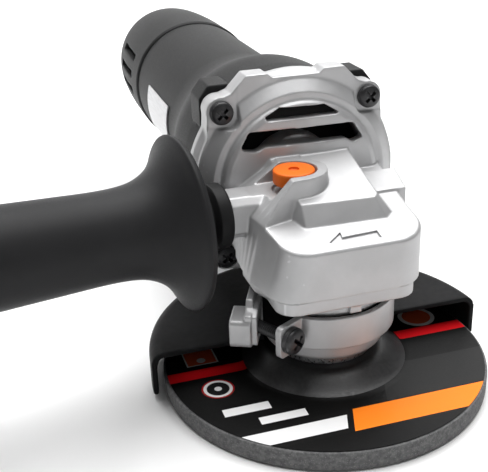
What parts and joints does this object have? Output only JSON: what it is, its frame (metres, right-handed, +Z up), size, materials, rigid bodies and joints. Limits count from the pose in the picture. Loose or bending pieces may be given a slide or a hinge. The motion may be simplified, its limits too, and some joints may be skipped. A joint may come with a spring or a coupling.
{
  "type": "angle grinder",
  "caption": "Corded angle grinder with a depressed-centre disc, half guard on a clamp band, bevel gear head, spindle lock button, slide switch and screw-in side handle.",
  "frame": {"origin": "centre of the spindle's lower end face, on the spindle axis", "axes": "+Z up the spindle, +Y back along the motor housing, side handle towards -X"},
  "size_m": [0.2356, 0.3009, 0.104],
  "materials": {
    "cast_aluminium": "satin cast",
    "bright_steel": "ground",
    "lamination_steel": "varnished laminations",
    "blackened_steel": "black oxide",
    "guard_paint": "satin black paint",
    "charcoal_plastic": "fine texture",
    "grip_plastic": "soft matte",
    "orange_plastic": "moulded",
    "abrasive": "resin-bonded grit with a printed paper label",
    "copper": "enamelled copper",
    "brass": "drawn",
    "carbon": "pressed carbon",
    "rubber": "matte",
    "label_foil": "printed foil"
  },
  "bodies": {
    "machine": {"gear_housing": "cast_aluminium", "bearing_cover": "cast_aluminium", "cover_screw_1": "blackened_steel", "cover_screw_2": "blackened_steel", "cover_screw_3": "blackened_steel", "cover_screw_4": "blackened_steel", "spindle_bearing_lower": "bright_steel", "spindle_bearing_upper": "bright_steel", "flange_screw_1": "blackened_steel", "flange_screw_2": "blackened_steel", "flange_screw_3": "blackened_steel", "flange_screw_4": "blackened_steel", "motor_housing": "charcoal_plastic", "fan_baffle": "charcoal_plastic", "stator_core": "lamination_steel", "field_coil_upper": "copper", "field_coil_lower": "copper", "armature_bearing_front": "bright_steel", "armature_bearing_rear": "bright_steel", "bearing_sleeve": "rubber", "brush_holder_upper": "brass", "brush_holder_lower": "brass", "carbon_brush_upper": "carbon", "carbon_brush_lower": "carbon", "brush_spring_upper": "bright_steel", "brush_spring_lower": "bright_steel", "rear_cover": "charcoal_plastic", "rear_cover_screw_1": "blackened_steel", "rear_cover_screw_2": "blackened_steel", "switch_body": "charcoal_plastic", "cord_grommet": "rubber", "rating_plate": "label_foil", "interference_capacitor": "orange_plastic"},
    "spindle": {"spindle": "bright_steel", "crown_gear": "bright_steel", "gear_circlip": "bright_steel", "inner_flange": "bright_steel", "grinding_disc": "abrasive", "flange_nut": "bright_steel"},
    "armature": {"armature_shaft": "bright_steel", "armature_core": "lamination_steel", "armature_winding_front": "copper", "armature_winding_rear": "copper", "commutator": "copper", "cooling_fan": "charcoal_plastic", "pinion": "bright_steel", "pinion_nut": "bright_steel"},
    "guard": {"guard_shroud": "guard_paint", "clamp_band": "cast_aluminium", "clamp_screw": "blackened_steel"},
    "lock": {"lock_button": "orange_plastic", "lock_pin": "bright_steel", "lock_spring": "bright_steel"},
    "switch": {"switch_slider": "charcoal_plastic", "switch_rod": "bright_steel"},
    "handle_seat": {"handle_bush": "charcoal_plastic"},
    "side_handle": {"handle_grip": "grip_plastic", "handle_stud": "bright_steel"}
  },
  "joints": [
    {"name": "spindle_spin", "type": "hinge", "parent": "machine", "child": "spindle", "pos_m": [0, 0, 0], "axis": [0, 0, 1], "continuous": true},
    {"name": "armature_spin", "type": "hinge", "parent": "machine", "child": "armature", "pos_m": [0, 0, 0.0651], "axis": [0, 1, 0], "continuous": true},
    {"name": "guard_turn", "type": "hinge", "parent": "machine", "child": "guard", "pos_m": [0, 0, 0], "axis": [0, 0, 1], "range_deg": [-40, 90]},
    {"name": "lock_press", "type": "slide", "parent": "machine", "child": "lock", "axis": [0, 0, -1], "range_m": [0, 0.003], "stiffness_N_per_m": 500, "springref_m": -0.002, "deforming": ["lock_spring"]},
    {"name": "switch_slide", "type": "slide", "parent": "machine", "child": "switch", "axis": [0, -1, 0], "range_m": [0, 0.006]},
    {"name": "handle_out", "type": "slide", "parent": "machine", "child": "handle_seat", "axis": [-0.9898, -0.1409, 0.0192], "range_m": [0, 0.0026]},
    {"name": "handle_turn", "type": "hinge", "parent": "handle_seat", "child": "side_handle", "pos_m": [-0.0349, 0.0091, 0.0619], "axis": [-0.9898, -0.1409, 0.0192], "range_deg": [0, 720]}
  ],
  "couplings": [
    {"joint": "armature_spin", "follows": "spindle_spin", "ratio": 2.5},
    {"joint": "handle_out", "follows": "handle_turn", "m_per_rad": 0.00019894}
  ]
}
